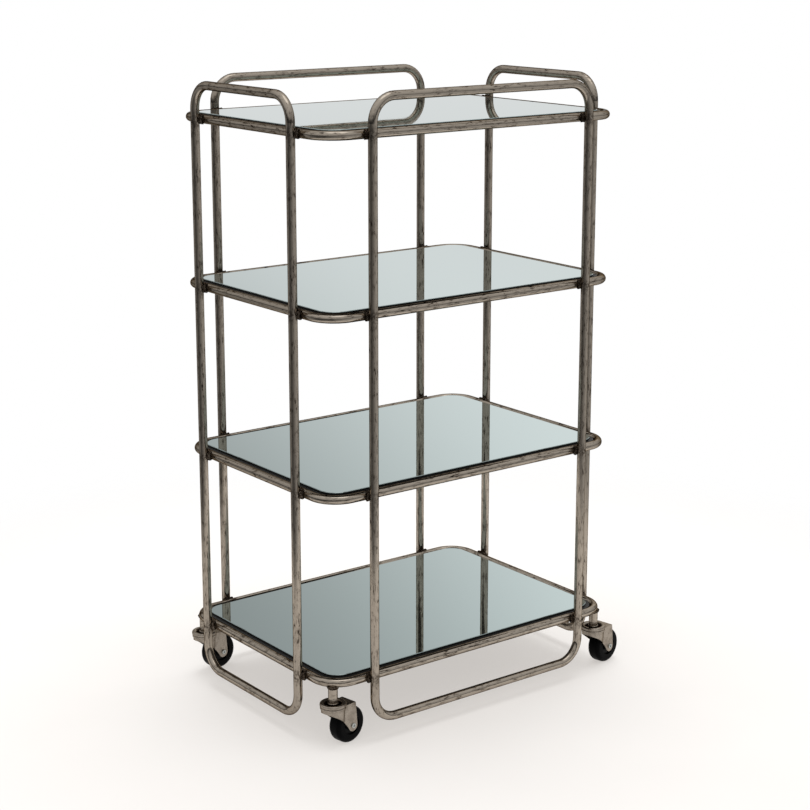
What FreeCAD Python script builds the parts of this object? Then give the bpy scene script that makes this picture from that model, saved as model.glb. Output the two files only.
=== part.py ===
"""Four-shelf bar cart on swivel casters: bent steel tube, mirror shelves.

Millimetres, +Z up. X runs along the long side, Y along the short side, and the
front is the -Y side. The origin is on the floor, at the bottom centre of the box
around the whole cart with its casters trailing towards +X.
"""
import FreeCAD, Part
import math
import os

from FreeCAD import Vector

# ---- Tube -----------------------------------------------------------------
tube_diameter = 19.0            # shelf frames, end loops and side loops
tube_gap = 0.2                  # between a loop's tube and a shelf frame's tube

# ---- Shelf frames (sizes are to the tube's centre line) --------------------
shelf_length = 764.0            # along X
shelf_width = 544.0             # along Y
shelf_corner_radius = 56.0
bay_heights = [394.0, 373.0, 360.0]   # centre line to centre line, from the bottom up

# ---- Loops ----------------------------------------------------------------
side_post_inset = 98.0          # front and back posts in from the frame's ends
end_post_inset = 92.5           # left and right posts in from the frame's sides
loop_corner_radius = 52.0
handle_height = 73.5            # top shelf's centre line up to the loop's top bar
foot_drop = 94.0                # lowest shelf's centre line down to the loop's bottom bar

# ---- Shelf panels ----------------------------------------------------------
mirror_thickness = 5.0
mirror_top_above_frame = 10.0   # mirror face above the frame's centre line
mirror_margin = 8.8             # frame's inner side to the mirror's edge
mirror_bevel = 1.0
board_thickness = 6.0
board_clearance = 0.3           # frame's inner side to the backing board's edge

# ---- Support tabs ----------------------------------------------------------
tab_width = 24.0
tab_reach = 25.0                # beyond the frame's inner side
tab_thickness = 3.0
long_side_tab_spacing = 380.0

# ---- Weld beads ------------------------------------------------------------
bead_side_radius = 13.0         # seen from above
bead_height_radius = 11.2       # seen along the shelf tube
collar_bead_width = 2.6         # around a caster sleeve's top

# ---- Caster, from the top down ---------------------------------------------
sleeve_diameter = 20.0
sleeve_length = 24.0            # below the frame's tube
sleeve_cope_fit = 0.08          # sleeve's coped end to the frame's tube
sleeve_cope_height = 5.0        # how far the coped end rises beside the tube
sleeve_top_margin = 0.5         # stem end to the frame's tube
stem_diameter = 10.9
stem_chamfer = 1.0
stem_fit = 0.02                 # radial, stem in the sleeve and in the top race
swivel_fit = 0.05               # radial, kingpin in the fork
washer_diameter = 20.4
washer_thickness = 3.0
nut_across_flats = 17.0
nut_height = 6.5
collar_diameter = 23.0
collar_height = 3.5
race_diameter = 56.0
race_rim_height = 7.5
race_rim_width = 7.0            # outside of the rim to the edge of the dish
race_rim_rounding = 3.2
race_lip_rounding = 1.6
race_dish_depth = 3.5
race_sheet = 2.0
race_gap = 0.5                  # top race's rim to the fork's cup
cup_diameter = 54.6
cup_wall = 2.4
cup_rounding = 1.5
ball_diameter = 5.0
ball_ring_diameter = 36.0
ball_count = 18
ball_fit = 0.02
rivet_head_diameter = 18.0
rivet_head_height = 2.6
rivet_head_rounding = 1.2
rivet_gap = 0.3

# ---- Fork and wheel --------------------------------------------------------
wheel_diameter = 79.0
tyre_crown_gap = 5.86           # top of the tyre to the level of the crown's underside
tyre_width = 32.0
tyre_shoulder = 9.0
hub_diameter = 42.0
hub_width = 24.0
boss_diameter = 20.0
boss_width = 34.0
caster_trail = 39.0             # swivel axis to axle
fork_sheet = 2.6
fork_side_clearance = 0.3       # wheel boss to fork leg
fork_end_radius = 12.5
fork_back = 47.0                # swivel axis to the legs' back edge at the top
skirt_front_depth = 6.0         # crown's underside to the skirt's lower edge at the front
skirt_front_drop = 5.5          # the edge's fall over the next quarter of the cup
skirt_foot_diameter = 46.0      # skirt's width low down, where it meets the legs
fork_knee_ahead = 23.0          # lower edge's bend ahead of the axle
fork_knee_above = 10.5          # and above it
fork_leave_angle = 205.0        # where the lower edge meets the round end, degrees
outline_overrun = 2.0           # cutting outline past the skirt
axle_diameter = 8.0
axle_fit = 0.05                 # radial, axle in the wheel
axle_hole_fit = 0.02            # radial, axle in the fork legs
axle_head_diameter = 11.0
axle_head_height = 3.0
axle_head_rounding = 1.0
axle_socket_across_flats = 5.0
axle_socket_depth = 1.8
axle_nut_across_flats = 13.0
axle_nut_height = 5.0
axle_thread_end = 1.5           # past the nut
caster_rest_angle = 10.0        # trailing direction, degrees from +X
same_place = 0.01               # edges this near a place count as being there

# ---- Worked out from the sizes above ----------------------------------------
tube_radius = tube_diameter / 2
half_length = shelf_length / 2
half_width = shelf_width / 2
loop_offset = tube_diameter + tube_gap          # frame centre line to loop plane
side_loop_width = shelf_length - 2 * side_post_inset    # post to post
end_loop_width = shelf_width - 2 * end_post_inset
wheel_radius = wheel_diameter / 2
crown_bottom = wheel_diameter + tyre_crown_gap
crown_top = crown_bottom + fork_sheet
ball_centre_height = crown_top + ball_fit + ball_diameter / 2
race_floor_bottom = ball_centre_height + ball_diameter / 2 + ball_fit
race_floor_top = race_floor_bottom + race_sheet
race_rim_top = race_floor_top + race_dish_depth
race_rim_bottom = race_rim_top - race_rim_height
cup_top = race_rim_bottom - race_gap
nut_bottom = race_floor_top + collar_height
nut_top = nut_bottom + nut_height
sleeve_bottom_height = nut_top + washer_thickness
lowest_shelf_height = sleeve_bottom_height + sleeve_length + tube_radius
shelf_heights = [lowest_shelf_height + sum(bay_heights[:i]) for i in range(4)]
loop_bottom = shelf_heights[0] - foot_drop
loop_top = shelf_heights[-1] + handle_height
corner_inset = shelf_corner_radius * (1 - math.sqrt(0.5))
stem_x = half_length - corner_inset             # under the middle of each corner bend
stem_y = half_width - corner_inset
fork_inner = boss_width / 2 + fork_side_clearance
fork_outer = fork_inner + fork_sheet
wheel_reach = (caster_trail + wheel_radius) * math.cos(math.radians(caster_rest_angle)) \
    + tyre_width / 2 * math.sin(math.radians(caster_rest_angle))
box_right = max(half_length + loop_offset + tube_radius, stem_x + wheel_reach)
box_left = half_length + loop_offset + tube_radius
centre_shift = (box_left - box_right) / 2       # moves the box's centre to X = 0

X_AXIS = Vector(1, 0, 0)
Y_AXIS = Vector(0, 1, 0)
Z_AXIS = Vector(0, 0, 1)


def cylinder(radius, length, base, axis=Z_AXIS):
    """Solid cylinder from base along axis."""
    return Part.makeCylinder(radius, length, base, axis)


def hexagon(across_flats, height, base):
    """Hexagonal prism standing on base."""
    reach = across_flats / 2 / math.cos(math.radians(30))
    corners = [
        base + Vector(reach * math.cos(math.radians(60 * i)), reach * math.sin(math.radians(60 * i)), 0)
        for i in range(7)
    ]
    return Part.Face(Part.makePolygon(corners)).extrude(Z_AXIS * height)


def round_edges(shape):
    """Full-circle edges of a shape."""
    return [e for e in shape.Edges if len(e.Vertexes) == 1]


def edges_at(shape, radius, height):
    """Full circles about the Z axis at a radius and height."""
    return [e for e in round_edges(shape)
            if abs(e.BoundBox.XMax - radius) < same_place and abs(e.BoundBox.ZMax - height) < same_place]


def revolved(profile):
    """Solid of a closed (radius, height) profile turned about Z."""
    wire = Part.makePolygon([Vector(r, 0, z) for r, z in profile + profile[:1]])
    return Part.Face(wire).revolve(Vector(0, 0, 0), Z_AXIS, 360)


def tube_ring(length, width, bend_radius):
    """Closed rounded rectangle of tube in the XY plane, sized to its centre line."""
    straight_x = length - 2 * bend_radius
    straight_y = width - 2 * bend_radius
    pieces = []
    for side in (-1, 1):
        start = Vector(-straight_x / 2, side * width / 2, 0)
        pieces.append(cylinder(tube_radius, straight_x, start, X_AXIS))
        start = Vector(side * length / 2, -straight_y / 2, 0)
        pieces.append(cylinder(tube_radius, straight_y, start, Y_AXIS))
    for turn, sx, sy in ((0, 1, 1), (90, -1, 1), (180, -1, -1), (270, 1, -1)):
        bend = Part.makeTorus(bend_radius, tube_radius, Vector(), Z_AXIS, -180, 180, 90)
        bend.rotate(Vector(), Z_AXIS, turn)
        bend.translate(Vector(sx * straight_x / 2, sy * straight_y / 2, 0))
        pieces.append(bend)
    return pieces[0].multiFuse(pieces[1:]).removeSplitter().Solids[0]


def rounded_plate(length, width, corner_radius, bottom, thickness):
    """Plate with rounded corners, centred on the Z axis."""
    plate = Part.makeBox(length, width, thickness, Vector(-length / 2, -width / 2, bottom))
    upright = [
        e for e in plate.Edges
        if abs(e.Vertexes[0].X - e.Vertexes[1].X) + abs(e.Vertexes[0].Y - e.Vertexes[1].Y) < same_place
    ]
    return plate.makeFillet(corner_radius, upright)


def shelf_frame(height):
    """Rounded tube frame round one shelf."""
    ring = tube_ring(shelf_length, shelf_width, shelf_corner_radius)
    ring.translate(Vector(0, 0, height))
    return ring


def side_loop(side):
    """Tall loop across the front (side -1) or the back (side 1)."""
    loop = tube_ring(side_loop_width, loop_top - loop_bottom, loop_corner_radius)
    loop.rotate(Vector(), X_AXIS, 90)
    loop.translate(Vector(0, side * (half_width + loop_offset), (loop_top + loop_bottom) / 2))
    return loop


def end_loop(side):
    """Tall loop across the left end (side -1) or the right end (side 1)."""
    loop = tube_ring(loop_top - loop_bottom, end_loop_width, loop_corner_radius)
    loop.rotate(Vector(), Y_AXIS, 90)
    loop.translate(Vector(side * (half_length + loop_offset), 0, (loop_top + loop_bottom) / 2))
    return loop


def panel_plate(inset, bottom, thickness):
    """Plate that follows the frame, its edge inset from the frame's inner side."""
    inward = tube_radius + inset
    return rounded_plate(
        shelf_length - 2 * inward, shelf_width - 2 * inward, shelf_corner_radius - inward, bottom, thickness
    )


def mirror(height):
    """Mirror glass with a small bevel round its top edge."""
    bottom = height + mirror_top_above_frame - mirror_thickness
    plate = panel_plate(mirror_margin, bottom, mirror_thickness)
    top_edges = [e for e in plate.Edges if e.BoundBox.ZMin > bottom + mirror_thickness - same_place]
    return plate.makeChamfer(mirror_bevel, top_edges)


def board_top(height):
    """Level of the joint between a mirror and its backing board."""
    return height + mirror_top_above_frame - mirror_thickness


def backing_board(height):
    """Black board under the mirror, filling the frame."""
    return panel_plate(board_clearance, board_top(height) - board_thickness, board_thickness)


def support_tabs(height):
    """Six tabs on the frame's inner side that carry the backing board."""
    top = board_top(height) - board_thickness
    length = tube_radius + tab_reach
    tabs = []
    for side in (-1, 1):
        for x in (-long_side_tab_spacing / 2, long_side_tab_spacing / 2):
            near = side * half_width
            low = min(near, near - side * length)
            tabs.append(Part.makeBox(tab_width, length, tab_thickness,
                                     Vector(x - tab_width / 2, low, top - tab_thickness)))
        near = side * half_length
        low = min(near, near - side * length)
        tabs.append(Part.makeBox(length, tab_width, tab_thickness,
                                 Vector(low, -tab_width / 2, top - tab_thickness)))
    frame = shelf_frame(height)
    return Part.makeCompound([tab.cut(frame) for tab in tabs])


def weld_bead(contact, along, outward):
    """Fillet of weld where a loop's post crosses a shelf frame's tube."""
    reach = 2 * bead_side_radius
    upright = cylinder(bead_side_radius, reach, contact - Z_AXIS * bead_side_radius)
    level = cylinder(bead_height_radius, reach, contact - along * bead_side_radius, along)
    post_centre = contact + outward * (loop_offset / 2)
    post = cylinder(tube_radius, 2 * reach, post_centre - Z_AXIS * reach)
    rail_centre = contact - outward * (loop_offset / 2)
    rail = cylinder(tube_radius, 2 * reach, rail_centre - along * reach, along)
    return upright.common(level).cut(post).cut(rail)


def crossing_beads(height):
    """The eight beads that join one shelf frame to the four loops."""
    beads = []
    for side in (-1, 1):
        for end in (-1, 1):
            contact = Vector(end * side_loop_width / 2, side * (half_width + loop_offset / 2), height)
            beads.append(weld_bead(contact, X_AXIS, Y_AXIS * side))
            contact = Vector(side * (half_length + loop_offset / 2), end * end_loop_width / 2, height)
            beads.append(weld_bead(contact, Y_AXIS, X_AXIS * side))
    return beads


def corner_place(sx, sy):
    """Point on the floor under the middle of a frame corner."""
    return Vector(sx * stem_x, sy * stem_y, 0)


def corner_torus(sx, sy, fit=0.0):
    """Whole torus that the lowest frame's bend at this corner is part of, with an extra fit."""
    centre = Vector(sx * (half_length - shelf_corner_radius), sy * (half_width - shelf_corner_radius),
                    shelf_heights[0])
    return Part.makeTorus(shelf_corner_radius, tube_radius + fit, centre)


def sleeve_blank():
    """Outer cylinder of a caster sleeve, before the frame is cut from it."""
    top = shelf_heights[0] - tube_radius + sleeve_cope_height
    return cylinder(sleeve_diameter / 2, top - sleeve_bottom_height, Vector(0, 0, sleeve_bottom_height))


def sleeve_bead(sx, sy):
    """Ring of weld round a caster sleeve's top."""
    outer = sleeve_diameter / 2 + collar_bead_width
    top = shelf_heights[0] - tube_radius
    cone = Part.makeCone(sleeve_diameter / 2, outer, 2 * collar_bead_width,
                         Vector(0, 0, top - collar_bead_width))
    ring = cone.cut(sleeve_blank())
    ring.translate(corner_place(sx, sy))
    return ring.cut(corner_torus(sx, sy))


def weld_beads(level):
    """All weld on one shelf frame; the lowest one also has the caster sleeves' beads."""
    beads = crossing_beads(shelf_heights[level])
    if level == 0:
        beads += [sleeve_bead(sx, sy) for sx in (-1, 1) for sy in (-1, 1)]
    return Part.makeCompound(beads)


def caster_sleeve(sx, sy):
    """Short tube under a frame corner that takes the caster's stem."""
    bore = cylinder(stem_diameter / 2 + stem_fit, shelf_heights[0] - sleeve_bottom_height,
                    Vector(0, 0, sleeve_bottom_height))
    sleeve = sleeve_blank().cut(bore)
    sleeve.translate(corner_place(sx, sy))
    return sleeve.cut(corner_torus(sx, sy, sleeve_cope_fit)).Solids[0]


def caster_stem():
    """Stem, washer, nut, collar and riveted kingpin in one piece; the fork turns on it."""
    stem_top = shelf_heights[0] - tube_radius - sleeve_top_margin
    head_top = crown_bottom - rivet_gap
    head_bottom = head_top - rivet_head_height
    shaft = cylinder(stem_diameter / 2, stem_top - head_bottom, Vector(0, 0, head_bottom))
    shaft = shaft.makeChamfer(stem_chamfer, edges_at(shaft, stem_diameter / 2, stem_top))
    washer = cylinder(washer_diameter / 2, washer_thickness, Vector(0, 0, nut_top))
    washer = washer.makeFillet(washer_thickness / 3, round_edges(washer))
    nut = hexagon(nut_across_flats, nut_height, Vector(0, 0, nut_bottom))
    collar = cylinder(collar_diameter / 2, collar_height, Vector(0, 0, race_floor_top))
    collar = collar.makeFillet(collar_height / 3, round_edges(collar))
    head = cylinder(rivet_head_diameter / 2, rivet_head_height, Vector(0, 0, head_bottom))
    head = head.makeFillet(rivet_head_rounding, edges_at(head, rivet_head_diameter / 2, head_bottom))
    return shaft.multiFuse([washer, nut, collar, head]).removeSplitter()


def top_race():
    """Dished cover with a thick rounded rim that holds the balls down."""
    rim = race_diameter / 2
    bore = stem_diameter / 2 + stem_fit
    dish = rim - race_rim_width
    shell = revolved([
        (bore, race_floor_top), (dish - race_dish_depth, race_floor_top), (dish, race_rim_top),
        (rim, race_rim_top), (rim, race_rim_bottom), (rim - race_sheet, race_rim_bottom),
        (rim - race_sheet, race_floor_bottom), (bore, race_floor_bottom),
    ])
    shell = shell.makeFillet(race_rim_rounding, edges_at(shell, rim, race_rim_top))
    shell = shell.makeFillet(race_rim_rounding, edges_at(shell, dish, race_rim_top))
    return shell.makeFillet(race_lip_rounding, edges_at(shell, rim, race_rim_bottom))


def ball_ring():
    """Ring of steel balls between the race and the fork's crown."""
    balls = []
    for i in range(ball_count):
        angle = 2 * math.pi * i / ball_count
        centre = Vector(math.cos(angle), math.sin(angle), 0) * (ball_ring_diameter / 2)
        balls.append(Part.makeSphere(ball_diameter / 2, centre + Z_AXIS * ball_centre_height))
    return Part.makeCompound(balls)


def fork_side_shape():
    """Slab with the fork's outline seen from the side."""
    y = -cup_diameter
    axle = Vector(caster_trail, y, wheel_radius)
    lean = math.radians(fork_leave_angle)
    touch = axle + Vector(math.cos(lean), 0, math.sin(lean)) * fork_end_radius
    edge = crown_bottom - skirt_front_depth
    front = Vector(-cup_diameter / 2 - outline_overrun, y, edge + outline_overrun)
    sweep = Part.BSplineCurve()
    sweep.interpolate([
        front,
        Vector(-cup_diameter / 4, y, edge - skirt_front_drop),
        Vector(0, y, wheel_radius + 2 * fork_end_radius),
        Vector(caster_trail - fork_knee_ahead, y, wheel_radius + fork_knee_above),
        touch,
    ])
    front_top = Vector(front.x, y, cup_top)
    back_top = Vector(fork_back, y, cup_top)
    back = axle + X_AXIS * fork_end_radius
    outline = Part.Wire([
        Part.LineSegment(front_top, front).toShape(),
        sweep.toShape(),
        Part.Arc(touch, axle - Z_AXIS * fork_end_radius, back).toShape(),
        Part.LineSegment(back, back_top).toShape(),
        Part.LineSegment(back_top, front_top).toShape(),
    ])
    return Part.Face(outline).extrude(Y_AXIS * 2 * cup_diameter)


def fork_mass(top_radius, foot_radius, half_gap, top):
    """Tapering skirt joined to a block as wide as the legs, up to the given top."""
    skirt = Part.makeCone(foot_radius, top_radius, top - wheel_radius, Vector(0, 0, wheel_radius))
    block = Part.makeBox(2 * caster_trail, 2 * half_gap, wheel_diameter,
                         Vector(0, -half_gap, top - wheel_diameter))
    return skirt.fuse(block)


def fork():
    """Pressed fork: ball cup, crown, skirt and two legs open at the back."""
    cup_radius = cup_diameter / 2
    skirt_radius = cup_radius - cup_rounding
    foot_radius = skirt_foot_diameter / 2
    solid = fork_mass(skirt_radius, foot_radius, fork_outer, cup_top).common(fork_side_shape())
    hollow = fork_mass(skirt_radius - fork_sheet, foot_radius - fork_sheet, fork_inner, crown_bottom)
    open_back = Part.makeBox(2 * caster_trail, 2 * fork_inner, crown_bottom,
                             Vector(cup_radius, -fork_inner, 0))
    cup = cylinder(cup_radius, cup_top - crown_bottom, Vector(0, 0, crown_bottom))
    cup = cup.makeFillet(cup_rounding, round_edges(cup))
    well = cylinder(cup_radius - cup_wall, 2 * cup_top, Vector(0, 0, crown_top))
    bore = cylinder(stem_diameter / 2 + swivel_fit, 2 * cup_top, Vector(0, 0, 0))
    axle_hole = cylinder(axle_diameter / 2 + axle_hole_fit, 4 * fork_outer,
                         Vector(caster_trail, -2 * fork_outer, wheel_radius), Y_AXIS)
    body = solid.cut(hollow).fuse(cup)
    for space in (open_back, well, bore, axle_hole):
        body = body.cut(space)
    return body.removeSplitter().Solids[0]


def along_axle(shape):
    """Turn a shape made about Z so that it lies along the axle, centred on the wheel."""
    shape.rotate(Vector(), X_AXIS, -90)
    shape.translate(Vector(caster_trail, 0, wheel_radius))
    return shape


def tyre():
    """Solid tyre with rounded shoulders."""
    half = tyre_width / 2
    ring = cylinder(wheel_radius, tyre_width, Vector(0, 0, -half))
    ring = ring.makeFillet(tyre_shoulder, round_edges(ring))
    core = cylinder(hub_diameter / 2, 2 * tyre_width, Vector(0, 0, -tyre_width))
    return along_axle(ring.cut(core))


def hub():
    """Wheel centre with a longer boss round the axle."""
    disc = cylinder(hub_diameter / 2, hub_width, Vector(0, 0, -hub_width / 2))
    boss = cylinder(boss_diameter / 2, boss_width, Vector(0, 0, -boss_width / 2))
    bore = cylinder(axle_diameter / 2 + axle_fit, 2 * boss_width, Vector(0, 0, -boss_width))
    return along_axle(disc.fuse(boss).cut(bore).removeSplitter().Solids[0])


def axle_bolt():
    """Axle bolt with its round socket head on the front leg."""
    length = 2 * fork_outer + axle_nut_height + axle_thread_end
    shaft = cylinder(axle_diameter / 2, length, Vector(0, 0, -fork_outer))
    head = cylinder(axle_head_diameter / 2, axle_head_height, Vector(0, 0, -fork_outer - axle_head_height))
    outer = -fork_outer - axle_head_height
    head = head.makeFillet(axle_head_rounding, edges_at(head, axle_head_diameter / 2, outer))
    socket = hexagon(axle_socket_across_flats, axle_socket_depth, Vector(0, 0, outer))
    return along_axle(shaft.fuse(head).cut(socket).removeSplitter().Solids[0])


def axle_nut():
    """Hexagon nut on the back leg."""
    nut = hexagon(axle_nut_across_flats, axle_nut_height, Vector(0, 0, fork_outer))
    bore = cylinder(axle_diameter / 2 + axle_hole_fit, 2 * axle_nut_height, Vector(0, 0, fork_outer - axle_nut_height / 2))
    return along_axle(nut.cut(bore))


def place_caster(shape, corner):
    """Turn a caster piece to its rest direction and put it under its corner."""
    shape.rotate(Vector(), Z_AXIS, caster_rest_angle)
    shape.translate(corner)
    return shape


def build():
    """Every node of the cart by name, before the shift to the common origin."""
    nodes = {}
    for level, height in enumerate(shelf_heights):
        number = level + 1
        nodes["shelf_frame_%d" % number] = shelf_frame(height)
        nodes["mirror_%d" % number] = mirror(height)
        nodes["backing_board_%d" % number] = backing_board(height)
        nodes["support_tabs_%d" % number] = support_tabs(height)
        nodes["weld_beads_%d" % number] = weld_beads(level)
    nodes["front_loop"] = side_loop(-1)
    nodes["back_loop"] = side_loop(1)
    nodes["left_loop"] = end_loop(-1)
    nodes["right_loop"] = end_loop(1)
    corners = {
        "front_left": (-1, -1), "front_right": (1, -1), "back_left": (-1, 1), "back_right": (1, 1),
    }
    makers = {
        "caster_stem": caster_stem, "top_race": top_race, "ball_ring": ball_ring, "fork": fork,
        "axle_bolt": axle_bolt, "axle_nut": axle_nut, "tyre": tyre, "hub": hub,
    }
    for place, (sx, sy) in corners.items():
        nodes["caster_sleeve_" + place] = caster_sleeve(sx, sy)
        for name, maker in makers.items():
            nodes[name + "_" + place] = place_caster(maker(), corner_place(sx, sy))
    return nodes


def main():
    """Write one STEP file per node."""
    os.makedirs("parts", exist_ok=True)
    for name, shape in build().items():
        shape.translate(X_AXIS * centre_shift)
        shape.exportStep("parts/%s.step" % name)


main()
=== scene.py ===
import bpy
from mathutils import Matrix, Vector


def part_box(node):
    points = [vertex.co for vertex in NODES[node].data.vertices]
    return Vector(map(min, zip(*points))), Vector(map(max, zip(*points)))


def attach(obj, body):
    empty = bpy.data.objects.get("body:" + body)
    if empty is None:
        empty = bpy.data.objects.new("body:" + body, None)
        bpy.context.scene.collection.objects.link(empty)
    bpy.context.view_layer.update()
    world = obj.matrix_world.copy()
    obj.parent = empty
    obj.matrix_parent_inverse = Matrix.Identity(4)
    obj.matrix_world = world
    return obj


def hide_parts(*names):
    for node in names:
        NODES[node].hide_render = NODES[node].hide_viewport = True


bl_info = {
    "name": "Mirror shelf bar cart",
    "version": (1, 1, 0),
    "blender": (4, 5, 0),
    "location": "View3D > Sidebar > Bar cart",
    "description": "Finishes, welds, stage and camera for a four-shelf bar cart on swivel casters",
    "category": "Object",
}

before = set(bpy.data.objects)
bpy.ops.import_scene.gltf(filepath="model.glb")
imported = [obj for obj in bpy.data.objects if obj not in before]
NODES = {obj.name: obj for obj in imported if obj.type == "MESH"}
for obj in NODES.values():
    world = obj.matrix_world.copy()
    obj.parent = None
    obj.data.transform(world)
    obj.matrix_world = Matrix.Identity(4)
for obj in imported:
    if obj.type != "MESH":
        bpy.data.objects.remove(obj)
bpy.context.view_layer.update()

import math

import bpy
import bmesh
from bpy.props import FloatProperty, FloatVectorProperty, PointerProperty
from mathutils import Vector, noise

PLACES = ("front_left", "front_right", "back_left", "back_right")
SHELVES = ("1", "2", "3", "4")
LOOPS = ("front_loop", "back_loop", "left_loop", "right_loop")
MM = 0.001

# Width of each pattern, in millimetres. Where the real pattern is too fine to show, it is drawn
# coarser, and a comment gives its real width.
STAIN_EDGE_WIDTH = 6.0
CASTER_CLOUD_WIDTH = 14.0
CASTER_PIT_WIDTH = 1.6  # drawn coarse: about 0.3 on a real fork
WELD_SCALE_WIDTH = 2.5
GLASS_FILM_WIDTH = 60.0
BOARD_PEEL_WIDTH = 2.4  # drawn coarse: about 1 on real painted board
TAB_CLOUD_WIDTH = 8.0
BOLT_SCRATCH_WIDTH = 1.5  # drawn coarse: about 0.1 on a real bolt
BALL_FILM_WIDTH = 4.0
RUBBER_GRAIN_WIDTH = 1.2  # drawn coarse: about 0.2 on a real tyre
RUBBER_DUST_WIDTH = 18.0
PLASTIC_GRAIN_WIDTH = 2.0  # drawn coarse: about 0.3 on a real hub
PAPER_TONE_WIDTH = 300.0

# Noise scale on each axis: draws the tube's grain out along its posts or along its level bars, and
# a bolt's scratches level.
ALONG_POSTS = (1.0, 1.0, 0.16)
ALONG_BARS = (0.16, 0.16, 1.0)
ACROSS_BOLT = (1.0, 1.0, 6.0)


# ---- What the frame says about the cart ------------------------------------
def middle(low, high):
    """Halfway between two corners."""
    return (low + high) / 2


SHELF_BOXES = [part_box("shelf_frame_" + n) for n in SHELVES]
CART_CENTRE = middle(*SHELF_BOXES[0])
SHELF_HEIGHTS = [middle(*corners).z for corners in SHELF_BOXES]
SHELF_HALF = (SHELF_BOXES[0][1] - SHELF_BOXES[0][0]) / 2
TUBE_RADIUS = SHELF_HALF.z
FRONT_LOOP_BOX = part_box("front_loop")
LEFT_LOOP_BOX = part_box("left_loop")
POST_X = (FRONT_LOOP_BOX[1].x - FRONT_LOOP_BOX[0].x) / 2 - TUBE_RADIUS
POST_Y = (LEFT_LOOP_BOX[1].y - LEFT_LOOP_BOX[0].y) / 2 - TUBE_RADIUS
LOOP_BAR_HEIGHTS = [FRONT_LOOP_BOX[0].z + TUBE_RADIUS, FRONT_LOOP_BOX[1].z - TUBE_RADIUS]
SWIVEL = middle(*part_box("caster_sleeve_back_right")) - CART_CENTRE
RACE_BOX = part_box("top_race_back_right")
SIDE_BAND = 3 * TUBE_RADIUS  # counts as beside a loop's level bar or a frame's outer edge
SLEEVE_REACH = 2 * TUBE_RADIUS  # weld metal this near a swivel's axis is on the caster sleeve


# ---- Colours and nodes -----------------------------------------------------
def linear(colour):
    """Linear RGBA from an sRGB hex string such as 'A0B0C0'."""
    channels = [int(colour[i:i + 2], 16) / 255 for i in (0, 2, 4)]
    return tuple(
        c / 12.92 if c <= 0.04045 else ((c + 0.055) / 1.055) ** 2.4 for c in channels) + (1.0,)


def colour_of(choice):
    """RGBA from a colour setting."""
    return tuple(choice) + (1.0,)


def per_mm(size):
    """Texture scale that gives features of this many millimetres."""
    return 1000.0 / size


def add_node(tree, kind, inputs=None, out=0, **settings):
    """Adds a node with its settings and links, and returns one of its outputs."""
    node = tree.nodes.new(kind)
    for name, value in settings.items():
        setattr(node, name, value)
    for key, value in (inputs or {}).items():
        if isinstance(value, bpy.types.NodeSocket):
            tree.links.new(value, node.inputs[key])
        else:
            node.inputs[key].default_value = value
    return node.outputs[out] if node.outputs else None


def new_material(name):
    """Empty node material, with its tree and its object coordinates."""
    material = bpy.data.materials.new(name)
    material.use_nodes = True
    tree = material.node_tree
    tree.nodes.clear()
    return material, tree, add_node(tree, "ShaderNodeTexCoord", out="Object")


def close_material(tree, surface):
    """Ends a material with a Principled surface of these inputs."""
    shader = add_node(tree, "ShaderNodeBsdfPrincipled", surface)
    add_node(tree, "ShaderNodeOutputMaterial", {"Surface": shader})


def near_any(tree, value, targets, reach):
    """1 where the value is at one of the targets, easing to 0 at the reach."""
    total = 0.0
    for target in targets:
        gap = add_node(tree, "ShaderNodeMath", {0: value, 1: target}, operation="SUBTRACT")
        away = add_node(tree, "ShaderNodeMath", {0: gap}, operation="ABSOLUTE")
        here = add_node(tree, "ShaderNodeMapRange", {
            "Value": away, "From Max": reach, "To Min": 1.0, "To Max": 0.0},
            interpolation_type="SMOOTHSTEP")
        total = add_node(tree, "ShaderNodeMath", {0: total, 1: here}, operation="MAXIMUM")
    return total


def from_centre(tree, place):
    """How far X and Y are from the cart's centre, to either side, and the height."""
    axes = add_node(tree, "ShaderNodeSeparateXYZ", {0: place}).node.outputs
    across = add_node(tree, "ShaderNodeMath", {
        0: axes["X"], 1: CART_CENTRE.x}, operation="SUBTRACT")
    along = add_node(tree, "ShaderNodeMath", {
        0: axes["Y"], 1: CART_CENTRE.y}, operation="SUBTRACT")
    across = add_node(tree, "ShaderNodeMath", {0: across}, operation="ABSOLUTE")
    along = add_node(tree, "ShaderNodeMath", {0: along}, operation="ABSOLUTE")
    return across, along, axes["Z"]


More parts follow.
